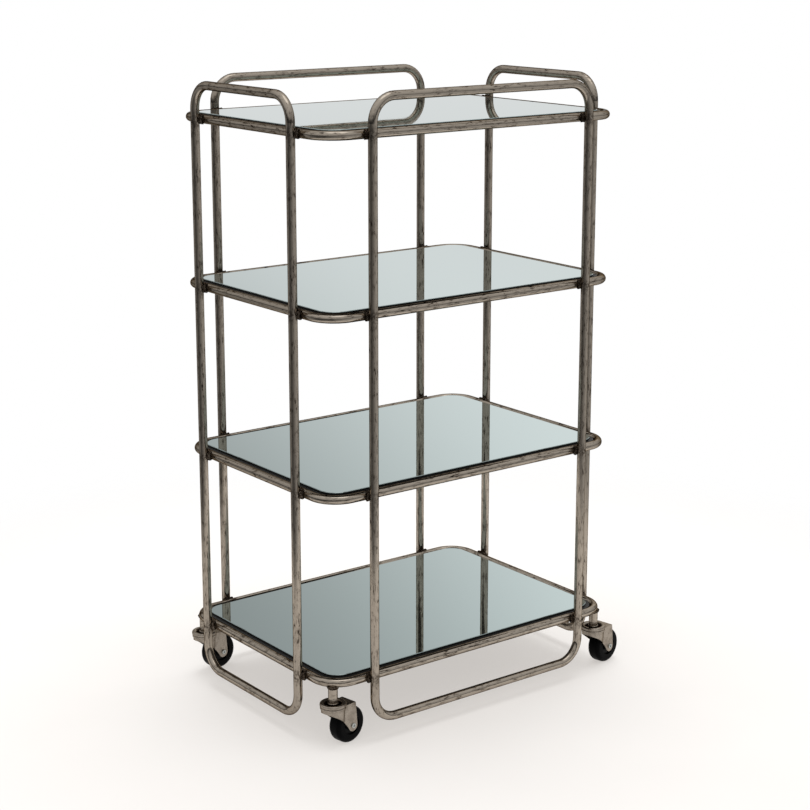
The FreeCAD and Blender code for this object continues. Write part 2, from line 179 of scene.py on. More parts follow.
# ---- Materials -------------------------------------------------------------
def nickel_surface(tree, place, grain, stain, finish):
    """Old nickel plate on steel tube: satin grey worn to brown, flecked along and heat-stained."""
    blotch = add_node(tree, "ShaderNodeTexNoise", {
        "Vector": place, "Scale": per_mm(finish.blotch_size), "Detail": 5.0, "Roughness": 0.62})
    worn = add_node(tree, "ShaderNodeMapRange", {
        "Value": blotch, "From Min": 0.40, "From Max": 0.66}, interpolation_type="SMOOTHSTEP")
    streak = add_node(tree, "ShaderNodeMapRange", {
        "Value": grain, "From Min": 0.44, "From Max": 0.62}, interpolation_type="SMOOTHSTEP")
    flecks = add_node(tree, "ShaderNodeMapRange", {
        "Value": grain, "From Min": 0.555, "From Max": 0.625}, interpolation_type="SMOOTHSTEP")
    tarnish = add_node(tree, "ShaderNodeMath", {0: worn, 1: streak}, operation="MULTIPLY")
    fleck_depth = add_node(tree, "ShaderNodeMapRange", {
        "Value": worn, "To Min": 0.35, "To Max": 0.9})
    dark = add_node(tree, "ShaderNodeMath", {0: flecks, 1: fleck_depth}, operation="MULTIPLY")
    broken = add_node(tree, "ShaderNodeTexNoise", {
        "Vector": place, "Scale": per_mm(STAIN_EDGE_WIDTH), "Detail": 4.0, "Roughness": 0.65})
    ragged = add_node(tree, "ShaderNodeMapRange", {
        "Value": broken, "From Min": 0.36, "From Max": 0.62}, interpolation_type="SMOOTHSTEP")
    burnt = add_node(tree, "ShaderNodeMath", {0: stain, 1: ragged}, operation="MULTIPLY")
    burnt = add_node(tree, "ShaderNodeMath", {
        0: burnt, 1: finish.stain_depth}, operation="MULTIPLY")
    colour = add_node(tree, "ShaderNodeMix", {
        0: tarnish, 6: colour_of(finish.nickel_bright), 7: colour_of(finish.nickel_worn)},
        out=2, data_type="RGBA")
    colour = add_node(tree, "ShaderNodeMix", {
        0: dark, 6: colour, 7: colour_of(finish.nickel_fleck)}, out=2, data_type="RGBA")
    colour = add_node(tree, "ShaderNodeMix", {
        0: burnt, 6: colour, 7: colour_of(finish.heat_stain)}, out=2, data_type="RGBA")
    rough = add_node(tree, "ShaderNodeMapRange", {"Value": tarnish, "To Min": 0.12, "To Max": 0.24})
    rough = add_node(tree, "ShaderNodeMath", {
        0: burnt, 1: 0.25, 2: rough}, operation="MULTIPLY_ADD")
    relief = add_node(tree, "ShaderNodeBump", {
        "Height": grain, "Distance": 0.06 * MM, "Strength": 0.6})
    close_material(tree, {
        "Base Color": colour, "Metallic": 1.0, "Roughness": rough, "Normal": relief,
        "Specular Tint": colour_of(finish.nickel_sheen)})


def lengthwise_grain(tree, place, finish, stretch):
    """Fine noise drawn out along the tube."""
    pulled = add_node(tree, "ShaderNodeMapping", {"Vector": place, "Scale": stretch})
    return add_node(tree, "ShaderNodeTexNoise", {
        "Vector": pulled, "Scale": per_mm(finish.grain_size), "Detail": 4.0, "Roughness": 0.66})


def loop_nickel(finish):
    """Aged nickel for the loops, grained along posts and bars and stained at the shelves."""
    material, tree, place = new_material("aged_nickel_loops")
    height = add_node(tree, "ShaderNodeSeparateXYZ", {0: place}, out="Z")
    upright = lengthwise_grain(tree, place, finish, ALONG_POSTS)
    level = lengthwise_grain(tree, place, finish, ALONG_BARS)
    at_bar = near_any(tree, height, LOOP_BAR_HEIGHTS, SIDE_BAND)
    grain = add_node(tree, "ShaderNodeMix", {0: at_bar, 2: upright, 3: level})
    stain = near_any(tree, height, SHELF_HEIGHTS, finish.stain_reach)
    nickel_surface(tree, place, grain, stain, finish)
    return material


def shelf_nickel(finish):
    """Aged nickel for the shelf frames, stained beside the posts."""
    material, tree, place = new_material("aged_nickel_shelves")
    across, along = from_centre(tree, place)[:2]
    grain = lengthwise_grain(tree, place, finish, ALONG_BARS)
    long_side = add_node(tree, "ShaderNodeMath", {
        0: along, 1: SHELF_HALF.y - SIDE_BAND}, operation="GREATER_THAN")
    short_side = add_node(tree, "ShaderNodeMath", {
        0: across, 1: SHELF_HALF.x - SIDE_BAND}, operation="GREATER_THAN")
    by_side_post = near_any(tree, across, [POST_X], finish.stain_reach)
    by_end_post = near_any(tree, along, [POST_Y], finish.stain_reach)
    at_long = add_node(tree, "ShaderNodeMath", {
        0: by_side_post, 1: long_side}, operation="MULTIPLY")
    at_short = add_node(tree, "ShaderNodeMath", {
        0: by_end_post, 1: short_side}, operation="MULTIPLY")
    stain = add_node(tree, "ShaderNodeMath", {0: at_long, 1: at_short}, operation="MAXIMUM")
    nickel_surface(tree, place, grain, stain, finish)
    return material


def caster_nickel(finish):
    """Plated pressed steel: cleaner and softer than the tube, and darker inside its dishes."""
    material, tree, place = new_material("caster_nickel")
    cloud = add_node(tree, "ShaderNodeTexNoise", {
        "Vector": place, "Scale": per_mm(CASTER_CLOUD_WIDTH), "Detail": 3.0, "Roughness": 0.6})
    smear = add_node(tree, "ShaderNodeMapRange", {
        "Value": cloud, "From Min": 0.40, "From Max": 0.66}, interpolation_type="SMOOTHSTEP")
    speckle = add_node(tree, "ShaderNodeTexNoise", {
        "Vector": place, "Scale": per_mm(CASTER_PIT_WIDTH), "Detail": 2.0, "Roughness": 0.6})
    pits = add_node(tree, "ShaderNodeMapRange", {
        "Value": speckle, "From Min": 0.60, "From Max": 0.74, "To Max": 0.4},
        interpolation_type="SMOOTHSTEP")
    across, along, height = from_centre(tree, place)
    off_x = add_node(tree, "ShaderNodeMath", {0: across, 1: SWIVEL.x}, operation="SUBTRACT")
    off_y = add_node(tree, "ShaderNodeMath", {0: along, 1: SWIVEL.y}, operation="SUBTRACT")
    offset = add_node(tree, "ShaderNodeCombineXYZ", {0: off_x, 1: off_y})
    radius = add_node(tree, "ShaderNodeVectorMath", {0: offset}, out="Value", operation="LENGTH")
    # A darker colour inside each top race's dish: within its rim and near the dish's height.
    dish_radius = (RACE_BOX[1].x - RACE_BOX[0].x) / 2 - finish.race_rim_width
    inside = add_node(tree, "ShaderNodeMapRange", {
        "Value": radius, "From Min": dish_radius - finish.dish_dark_fade_start,
        "From Max": dish_radius - finish.dish_dark_fade_end,
        "To Min": 1.0, "To Max": 0.0}, interpolation_type="SMOOTHSTEP")
    dish_height = near_any(tree, height, [RACE_BOX[1].z - finish.dish_depth], finish.dish_dark_reach)
    dish_dark = add_node(tree, "ShaderNodeMath", {0: inside, 1: dish_height}, operation="MULTIPLY")
    colour = add_node(tree, "ShaderNodeMix", {
        0: smear, 6: colour_of(finish.caster_bright), 7: colour_of(finish.caster_worn)},
        out=2, data_type="RGBA")
    colour = add_node(tree, "ShaderNodeMix", {
        0: pits, 6: colour, 7: colour_of(finish.nickel_fleck)}, out=2, data_type="RGBA")
    colour = add_node(tree, "ShaderNodeMix", {
        0: dish_dark, 6: colour, 7: colour_of(finish.dish_dark)}, out=2, data_type="RGBA")
    rough = add_node(tree, "ShaderNodeMapRange", {"Value": smear, "To Min": 0.26, "To Max": 0.36})
    relief = add_node(tree, "ShaderNodeBump", {
        "Height": speckle, "Distance": 0.05 * MM, "Strength": 0.6})
    close_material(tree, {
        "Base Color": colour, "Metallic": 1.0, "Roughness": rough, "Normal": relief,
        "Specular Tint": colour_of(finish.caster_sheen)})
    return material


def weld_steel(finish):
    """Unpolished weld metal: dark brown scale with bare steel on the crests."""
    material, tree, place = new_material("weld_steel")
    scale = add_node(tree, "ShaderNodeTexNoise", {
        "Vector": place, "Scale": per_mm(WELD_SCALE_WIDTH), "Detail": 3.0, "Roughness": 0.6})
    bare = add_node(tree, "ShaderNodeMapRange", {
        "Value": scale, "From Min": 0.46, "From Max": 0.64}, interpolation_type="SMOOTHSTEP")
    colour = add_node(tree, "ShaderNodeMix", {
        0: bare, 6: colour_of(finish.weld_scale), 7: colour_of(finish.weld_crest)},
        out=2, data_type="RGBA")
    relief = add_node(tree, "ShaderNodeBump", {"Height": scale, "Distance": 0.3 * MM})
    close_material(tree, {
        "Base Color": colour, "Metallic": 1.0, "Roughness": 0.36, "Normal": relief,
        "Specular Tint": colour_of(finish.nickel_sheen)})
    return material


def mirror_glass(finish):
    """Silvered float glass: green-tinted mirror on top, black seal round the edge."""
    material, tree, place = new_material("mirror_glass")
    normal = add_node(tree, "ShaderNodeNewGeometry", out="True Normal")
    upward = add_node(tree, "ShaderNodeSeparateXYZ", {0: normal}, out="Z")
    face = add_node(tree, "ShaderNodeMapRange", {
        "Value": upward, "From Min": 0.45, "From Max": 0.9}, interpolation_type="SMOOTHSTEP")
    film = add_node(tree, "ShaderNodeTexNoise", {
        "Vector": place, "Scale": per_mm(GLASS_FILM_WIDTH), "Detail": 5.0, "Roughness": 0.6})
    dust = add_node(tree, "ShaderNodeMapRange", {
        "Value": film, "From Min": 0.35, "From Max": 0.75, "To Min": 0.015, "To Max": 0.04})
    rough = add_node(tree, "ShaderNodeMix", {0: face, 2: 0.3, 3: dust})
    colour = add_node(tree, "ShaderNodeMix", {
        0: face, 6: colour_of(finish.glass_edge), 7: colour_of(finish.mirror_tint)},
        out=2, data_type="RGBA")
    close_material(tree, {"Base Color": colour, "Metallic": face, "Roughness": rough})
    return material


def black_board(finish):
    """Painted hardboard behind the mirrors: dull black with a faint orange-peel."""
    material, tree, place = new_material("black_board")
    grain = add_node(tree, "ShaderNodeTexNoise", {
        "Vector": place, "Scale": per_mm(BOARD_PEEL_WIDTH), "Detail": 3.0, "Roughness": 0.55})
    colour = add_node(tree, "ShaderNodeMix", {
        0: grain, 6: colour_of(finish.board_hollow), 7: colour_of(finish.board_crest)},
        out=2, data_type="RGBA")
    relief = add_node(tree, "ShaderNodeBump", {"Height": grain, "Distance": 0.08 * MM})
    close_material(tree, {"Base Color": colour, "Roughness": 0.5, "Normal": relief})
    return material


def tab_steel(finish):
    """Flat steel tabs under the boards, thinly plated and brown with age."""
    material, tree, place = new_material("tab_steel")
    cloud = add_node(tree, "ShaderNodeTexNoise", {
        "Vector": place, "Scale": per_mm(TAB_CLOUD_WIDTH), "Detail": 4.0, "Roughness": 0.6})
    smear = add_node(tree, "ShaderNodeMapRange", {
        "Value": cloud, "From Min": 0.40, "From Max": 0.65}, interpolation_type="SMOOTHSTEP")
    colour = add_node(tree, "ShaderNodeMix", {
        0: smear, 6: colour_of(finish.tab_bright), 7: colour_of(finish.tab_worn)},
        out=2, data_type="RGBA")
    close_material(tree, {"Base Color": colour, "Metallic": 1.0, "Roughness": 0.45})
    return material


def zinc_bolt(finish):
    """Bright zinc plate of the axle bolts and nuts, finely scratched."""
    material, tree, place = new_material("zinc_bolt")
    pulled = add_node(tree, "ShaderNodeMapping", {"Vector": place, "Scale": ACROSS_BOLT})
    scratch = add_node(tree, "ShaderNodeTexNoise", {
        "Vector": pulled, "Scale": per_mm(BOLT_SCRATCH_WIDTH), "Detail": 3.0, "Roughness": 0.6})
    colour = add_node(tree, "ShaderNodeMix", {
        0: scratch, 6: colour_of(finish.zinc_dull), 7: colour_of(finish.zinc_bright)},
        out=2, data_type="RGBA")
    rough = add_node(tree, "ShaderNodeMapRange", {"Value": scratch, "To Min": 0.12, "To Max": 0.38})
    close_material(tree, {"Base Color": colour, "Metallic": 1.0, "Roughness": rough})
    return material


def ball_steel(finish):
    """Polished bearing balls under a film of grease."""
    material, tree, place = new_material("ball_steel")
    cloud = add_node(tree, "ShaderNodeTexNoise", {
        "Vector": place, "Scale": per_mm(BALL_FILM_WIDTH), "Detail": 3.0, "Roughness": 0.5})
    film = add_node(tree, "ShaderNodeMapRange", {
        "Value": cloud, "From Min": 0.40, "From Max": 0.60}, interpolation_type="SMOOTHSTEP")
    colour = add_node(tree, "ShaderNodeMix", {
        0: film, 6: colour_of(finish.ball_bright), 7: colour_of(finish.ball_greasy)},
        out=2, data_type="RGBA")
    close_material(tree, {"Base Color": colour, "Metallic": 1.0, "Roughness": 0.18})
    return material


def black_rubber(finish):
    """Moulded black rubber tyre: low sheen, fine grain, a little dust."""
    material, tree, place = new_material("black_rubber")
    grain = add_node(tree, "ShaderNodeTexNoise", {
        "Vector": place, "Scale": per_mm(RUBBER_GRAIN_WIDTH), "Detail": 3.0, "Roughness": 0.6})
    cloud = add_node(tree, "ShaderNodeTexNoise", {
        "Vector": place, "Scale": per_mm(RUBBER_DUST_WIDTH), "Detail": 4.0, "Roughness": 0.6})
    dust = add_node(tree, "ShaderNodeMapRange", {
        "Value": cloud, "From Min": 0.5, "From Max": 0.8, "To Max": 0.1})
    colour = add_node(tree, "ShaderNodeMix", {
        0: dust, 6: colour_of(finish.rubber), 7: colour_of(finish.rubber_dust)},
        out=2, data_type="RGBA")
    relief = add_node(tree, "ShaderNodeBump", {"Height": grain, "Distance": 0.05 * MM})
    close_material(tree, {
        "Base Color": colour, "Roughness": 0.45, "Specular IOR Level": 0.06, "Normal": relief})
    return material


def black_plastic(finish):
    """Moulded black nylon hub, smoother than the tyre."""
    material, tree, place = new_material("black_plastic")
    grain = add_node(tree, "ShaderNodeTexNoise", {
        "Vector": place, "Scale": per_mm(PLASTIC_GRAIN_WIDTH), "Detail": 3.0, "Roughness": 0.5})
    colour = add_node(tree, "ShaderNodeMix", {
        0: grain, 6: colour_of(finish.plastic_dark), 7: colour_of(finish.plastic_light)},
        out=2, data_type="RGBA")
    relief = add_node(tree, "ShaderNodeBump", {"Height": grain, "Distance": 0.03 * MM})
    close_material(tree, {
        "Base Color": colour, "Roughness": 0.34, "Specular IOR Level": 0.09, "Normal": relief})
    return material


def finish_nodes(names, material):
    """Gives one material to CAD nodes."""
    for name in names:
        slots = NODES[name].data.materials
        slots.clear()
        slots.append(material)


# ---- Welds -----------------------------------------------------------------
SPLIT_ROUNDS = 3


def rippled_welds(node, welds, material):
    """Copy of a shelf's weld beads, drawn in, or flared on a sleeve, and roughened all over."""
    shape = bmesh.new()
    shape.from_mesh(NODES[node].data)
    bmesh.ops.remove_doubles(shape, verts=shape.verts, dist=0.01 * MM)
    bmesh.ops.triangulate(shape, faces=shape.faces)
    for _ in range(SPLIT_ROUNDS):
        long_edges = [edge for edge in shape.edges if edge.calc_length() > welds.facet]
        bmesh.ops.subdivide_edges(shape, edges=long_edges, cuts=1)
        bmesh.ops.triangulate(shape, faces=shape.faces)
    shape.normal_update()
    moves = []
    for vert in shape.verts:
        out_x = abs(vert.co.x - CART_CENTRE.x) - SWIVEL.x
        out_y = abs(vert.co.y - CART_CENTRE.y) - SWIVEL.y
        on_sleeve = math.hypot(out_x, out_y) < SLEEVE_REACH
        swell = welds.sleeve_flare if on_sleeve else -welds.draw_in
        lump = noise.noise(vert.co / welds.lump_size)
        ripple = noise.noise(vert.co / welds.ripple_size)
        rise = lump * welds.lump_height + ripple * welds.ripple_height + swell
        moves.append(vert.normal * rise)
    for vert, move in zip(shape.verts, moves):
        vert.co += move
    for face in shape.faces:
        face.smooth = True
    mesh = bpy.data.meshes.new("rippled_" + node)
    shape.to_mesh(mesh)
    shape.free()
    piece = bpy.data.objects.new("rippled_" + node, mesh)
    bpy.context.scene.collection.objects.link(piece)
    mesh.materials.append(material)
    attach(piece, "cart")
    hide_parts(node)


# ---- Stage -----------------------------------------------------------------
def compass(azimuth, elevation):
    """Unit vector for a direction; azimuth 0 is the cart's front and 90 its right end."""
    turn, rise = math.radians(azimuth), math.radians(elevation)
    return (math.sin(turn) * math.cos(rise), -math.cos(turn) * math.cos(rise), math.sin(rise))


def cosine(degrees):
    """Cosine of an angle in degrees."""
    return math.cos(math.radians(degrees))


def sine(degrees):
    """Sine of an angle in degrees."""
    return math.sin(math.radians(degrees))


def sky_patch(tree, heading, direction, outer, inner, easing="SMOOTHSTEP"):
    """1 within the inner angle of a direction, easing to 0 at the outer angle."""
    aim = add_node(tree, "ShaderNodeVectorMath", {0: heading, 1: compass(*direction)},
                   out="Value", operation="DOT_PRODUCT")
    return add_node(tree, "ShaderNodeMapRange", {
        "Value": aim, "From Min": cosine(outer), "From Max": cosine(inner)},
        interpolation_type=easing)


# Each patch of the surroundings: compass direction and height, the angle from there at which it has
# faded out, and the angle within which it is full, in degrees.
LEFT_WALL = ((-160.0, 0.0), 70, 20)
OVERHEAD_PANEL = ((37.0, 80.0), 26, 14)
CEILING_BEHIND = ((175.0, 38.0), 41, 26)
BACKDROP_HEIGHT = 4.0
BACKDROP_SPREAD = (46, 25)
ROOM_SPREAD = (175, 20)
# Brightness of the surroundings, where white is 1.
LEFT_WALL_LIGHT = 0.16
SKIRTING_DEPTH = 0.9
LOW_WALL_LIGHT = 0.36
OVERHEAD_LIGHT = 0.7
BACKDROP_FOOT, BACKDROP_TOP = 0.8, 1.04


def build_world(stage):
    """White studio: lit backdrop, unlit room on the camera's side, unlit ceiling behind."""
    world = bpy.data.worlds.new("studio")
    world.use_nodes = True
    tree = world.node_tree
    tree.nodes.clear()
    heading = add_node(tree, "ShaderNodeTexCoord", out="Generated")
    height = add_node(tree, "ShaderNodeSeparateXYZ", {0: heading}, out="Z")
    # The walls at the horizon, from the darkest side to the lightest, with a dark skirting line.
    right = sky_patch(tree, heading, (stage.light_side, 0.0), *ROOM_SPREAD, "LINEAR")
    horizon = add_node(tree, "ShaderNodeMapRange", {
        "Value": right, "To Min": stage.room_dark, "To Max": stage.room_light})
    line = near_any(tree, height, [sine(2)], sine(8))
    line = add_node(tree, "ShaderNodeMath", {
        0: line, 1: -SKIRTING_DEPTH, 2: 1.0}, operation="MULTIPLY_ADD")
    left = sky_patch(tree, heading, *LEFT_WALL)
    horizon = add_node(tree, "ShaderNodeMath", {
        0: left, 1: LEFT_WALL_LIGHT, 2: horizon}, operation="MULTIPLY_ADD")
    horizon = add_node(tree, "ShaderNodeMath", {0: horizon, 1: line}, operation="MULTIPLY")
    # Above them the room lightens towards the ceiling, which has one bright panel.
    rising = add_node(tree, "ShaderNodeMapRange", {
        "Value": height, "From Min": sine(6), "From Max": sine(64),
        "To Min": LOW_WALL_LIGHT, "To Max": stage.ceiling_light})
    lifted = add_node(tree, "ShaderNodeMapRange", {
        "Value": height, "From Min": sine(2), "From Max": sine(14)},
        interpolation_type="SMOOTHSTEP")
    overhead = sky_patch(tree, heading, *OVERHEAD_PANEL)
    rising = add_node(tree, "ShaderNodeMath", {
        0: overhead, 1: OVERHEAD_LIGHT, 2: rising}, operation="MULTIPLY_ADD")
    room = add_node(tree, "ShaderNodeMix", {0: lifted, 2: horizon, 3: rising})
    # The backdrop brightens with height, up to the unlit ceiling.
    backdrop = sky_patch(tree, heading, (stage.backdrop_side, BACKDROP_HEIGHT), *BACKDROP_SPREAD)
    sweep = add_node(tree, "ShaderNodeMapRange", {
        "Value": height, "From Min": sine(7), "From Max": sine(22),
        "To Min": BACKDROP_FOOT, "To Max": BACKDROP_TOP})
    ceiling = sky_patch(tree, heading, *CEILING_BEHIND)
    ceiling = add_node(tree, "ShaderNodeMath", {
        0: ceiling, 1: -stage.ceiling_dark, 2: 1.0}, operation="MULTIPLY_ADD")
    sweep = add_node(tree, "ShaderNodeMath", {0: sweep, 1: ceiling}, operation="MULTIPLY")
    level = add_node(tree, "ShaderNodeMix", {0: backdrop, 2: room, 3: sweep})
    # The background itself is plain white, and matt surfaces get even light.
    seen = add_node(tree, "ShaderNodeLightPath").node.outputs
    level = add_node(tree, "ShaderNodeMath", {
        0: level, 1: seen["Is Camera Ray"]}, operation="MAXIMUM")
    spread = add_node(tree, "ShaderNodeMath", {
        0: seen["Is Diffuse Ray"], 1: stage.soft_light}, operation="MULTIPLY")
    level = add_node(tree, "ShaderNodeMath", {0: level, 1: spread}, operation="MAXIMUM")
    shade = add_node(tree, "ShaderNodeBackground", {
        "Color": (1.0, 1.0, 1.0, 1.0), "Strength": level})
    add_node(tree, "ShaderNodeOutputWorld", {"Surface": shade})
    bpy.context.scene.world = world


def build_floor(stage):
    """Pale floor disc whose rim fades into the background."""
    mesh = bpy.data.meshes.new("studio_floor")
    shape = bmesh.new()
    bmesh.ops.create_circle(shape, cap_ends=True, segments=96, radius=stage.floor_radius)
    shape.to_mesh(mesh)
    shape.free()
    floor = bpy.data.objects.new("studio_floor", mesh)
    bpy.context.scene.collection.objects.link(floor)
    material, tree, place = new_material("paper_floor")
    radius = add_node(tree, "ShaderNodeVectorMath", {0: place}, out="Value", operation="LENGTH")
    fade = add_node(tree, "ShaderNodeMapRange", {
        "Value": radius, "From Min": stage.floor_radius * stage.fade_start,
        "From Max": stage.floor_radius * stage.fade_end}, interpolation_type="SMOOTHSTEP")
    tone = add_node(tree, "ShaderNodeTexNoise", {
        "Vector": place, "Scale": per_mm(PAPER_TONE_WIDTH)})
    tone = add_node(tree, "ShaderNodeMix", {
        0: tone, 6: colour_of(stage.paper_dark), 7: colour_of(stage.paper_light)},
        out=2, data_type="RGBA")
    paper = add_node(tree, "ShaderNodeBsdfDiffuse", {"Color": tone})
    glow = add_node(tree, "ShaderNodeEmission", {
        "Color": colour_of(stage.glow_tint), "Strength": stage.floor_glow})
    lit = add_node(tree, "ShaderNodeAddShader", {0: paper, 1: glow})
    clear = add_node(tree, "ShaderNodeBsdfTransparent")
    glossy = add_node(tree, "ShaderNodeLightPath", out="Is Glossy Ray")
    thin = add_node(tree, "ShaderNodeMath", {
        0: glossy, 1: stage.floor_thinning}, operation="MULTIPLY")
    fade = add_node(tree, "ShaderNodeMath", {0: fade, 1: thin}, operation="MAXIMUM")
    mixed = add_node(tree, "ShaderNodeMixShader", {0: fade, 1: lit, 2: clear})
    add_node(tree, "ShaderNodeOutputMaterial", {"Surface": mixed})
    mesh.materials.append(material)


def add_softbox(stage):
    """Square overhead area light that faces the cart and stays out of its reflections."""
    light = bpy.data.lights.new("overhead_softbox", "AREA")
    light.shape = "SQUARE"
    light.size = stage.softbox_size
    light.energy = stage.top_light
    holder = bpy.data.objects.new("overhead_softbox", light)
    holder.location = stage.softbox_place
    towards = Vector(stage.softbox_aim) - holder.location
    holder.rotation_euler = towards.to_track_quat("-Z", "Y").to_euler()
    holder.visible_glossy = False
    bpy.context.scene.collection.objects.link(holder)


SENSOR_WIDTH = 36.0


def add_camera(stage):
    """Camera round the aim point, level from side to side."""
    back = Vector(compass(stage.camera_azimuth, stage.camera_tilt))
    lens = bpy.data.cameras.new("cart_camera")
    lens.sensor_width = SENSOR_WIDTH
    lens.lens = stage.camera_lens
    lens.shift_y = stage.camera_shift
    holder = bpy.data.objects.new("cart_camera", lens)
    holder.location = Vector(stage.camera_aim) + back * stage.camera_distance
    holder.rotation_euler = (-back).to_track_quat("-Z", "Y").to_euler()
    bpy.context.scene.collection.objects.link(holder)
    bpy.context.scene.camera = holder


# ---- Settings --------------------------------------------------------------
def colour_setting(name, description, colour):
    """Colour property whose default is an sRGB hex string."""
    return FloatVectorProperty(
        name=name, description=description, subtype="COLOR", size=3, min=0.0, max=1.0,
        default=linear(colour)[:3])


class CartFinishSettings(bpy.types.PropertyGroup):
    """Colours and pattern sizes."""
    nickel_bright: colour_setting("Bright nickel", "Tube where the plate is clean", "BDB2A4")
    nickel_worn: colour_setting("Worn nickel", "Tube where the plate is thin", "85796C")
    nickel_fleck: colour_setting("Flecks", "Dark flecks and pits in the plate", "2C2520")
    heat_stain: colour_setting("Heat stain", "Tube beside the welds", "33271E")
    nickel_sheen: colour_setting("Nickel sheen", "Glancing reflections on tube and welds", "6E665E")
    weld_scale: colour_setting("Weld scale", "Skin of the weld beads", "463B32")
    weld_crest: colour_setting("Weld crests", "Bare steel on the beads' crests", "8E8478")
    caster_bright: colour_setting("Bright caster steel", "Clean pressed steel", "B6ACA0")
    caster_worn: colour_setting("Worn caster steel", "Smeared pressed steel", "A0968A")
    caster_sheen: colour_setting("Caster sheen", "Glancing reflections on the casters", "A1988C")
    # Darker colour laid inside the casters' dishes.
    dish_dark: colour_setting("Grease", "Old grease in the casters' dishes", "2E2720")
    zinc_bright: colour_setting("Bright zinc", "Axle bolts and nuts", "E6E8E4")
    zinc_dull: colour_setting("Dull zinc", "Axle bolts and nuts between scratches", "A9ADAB")
    ball_bright: colour_setting("Clean balls", "Bearing balls", "C8C8C6")
    ball_greasy: colour_setting("Greasy balls", "Bearing balls under grease", "8C7F68")
    mirror_tint: colour_setting("Mirror tint", "Colour of the glass over the silver", "C6D6D5")
    glass_edge: colour_setting("Glass edge", "Black seal round each mirror", "101211")
    board_hollow: colour_setting("Board hollows", "Low spots of the board's paint", "1A1918")
    board_crest: colour_setting("Board crests", "High spots of the board's paint", "262422")
    tab_bright: colour_setting("Bright tabs", "Tabs where the plate is clean", "8F8375")
    tab_worn: colour_setting("Worn tabs", "Tabs where the plate is brown", "5A4D41")
    rubber: colour_setting("Rubber", "Tyres", "030304")
    rubber_dust: colour_setting("Tyre dust", "Dust on the tyres", "141313")
    plastic_dark: colour_setting("Dark plastic", "Hubs, low spots", "040405")
    plastic_light: colour_setting("Light plastic", "Hubs, high spots", "09090A")
    grain_size: FloatProperty(
        name="Grain size", description="Width of the tube's lengthwise flecks, in millimetres, "
        "drawn coarser than the real 0.5 so that they show", default=2.6, min=0.1, subtype="NONE")
    blotch_size: FloatProperty(
        name="Blotch size", description="Width of the tube's worn patches, in millimetres",
        default=30.0, min=1.0, subtype="NONE")
    stain_reach: FloatProperty(
        name="Stain reach", description="How far heat stain runs from a weld",
        default=22 * MM, min=0.0, unit="LENGTH")
    stain_depth: FloatProperty(
        name="Stain depth", description="How much of the tube's colour the heat stain covers",
        default=0.8, min=0.0, max=1.0, subtype="FACTOR")
    race_rim_width: FloatProperty(
        name="Race rim width", description="Clean rim round each caster's greasy dish",
        default=7 * MM, min=0.0, unit="LENGTH")
    # The next four settings place the darker colour inside each caster's dish.
    dish_dark_fade_start: FloatProperty(
        name="Grease fade start", description="How far inside the rim the grease starts to thin",
        default=3.5 * MM, min=0.0, unit="LENGTH")
    dish_dark_fade_end: FloatProperty(
        name="Grease fade end", description="How far inside the rim the grease ends",
        default=0.5 * MM, min=0.0, unit="LENGTH")
    dish_depth: FloatProperty(
        name="Dish depth", description="From the top of the race to the middle of the grease",
        default=3.5 * MM, min=0.0, unit="LENGTH")
    dish_dark_reach: FloatProperty(
        name="Grease depth", description="How far above and below that the grease reaches",
        default=3.4 * MM, min=0.0, unit="LENGTH")


class CartWeldSettings(bpy.types.PropertyGroup):
    """Relief of the weld beads."""
    facet: FloatProperty(
        name="Facet", description="Edges longer than this are split", default=1.4 * MM,
        min=0.2 * MM, unit="LENGTH")
    draw_in: FloatProperty(
        name="Draw in", description="How far the skin lies inside the plain bead",
        default=2.0 * MM, min=0.0, unit="LENGTH")
    sleeve_flare: FloatProperty(
        name="Sleeve flare", description="How far the weld round a caster sleeve stands out",
        default=1.2 * MM, min=0.0, unit="LENGTH")
    lump_size: FloatProperty(
        name="Lump size", description="Width of a lump", default=6 * MM, min=0.5 * MM,
        unit="LENGTH")
    lump_height: FloatProperty(
        name="Lump height", description="How far lumps rise", default=0.6 * MM, min=0.0,
        unit="LENGTH")
    ripple_size: FloatProperty(
        name="Ripple size", description="Width of a ripple", default=2.2 * MM, min=0.5 * MM,
        unit="LENGTH")
    ripple_height: FloatProperty(
        name="Ripple height", description="How far ripples rise", default=0.45 * MM, min=0.0,
        unit="LENGTH")


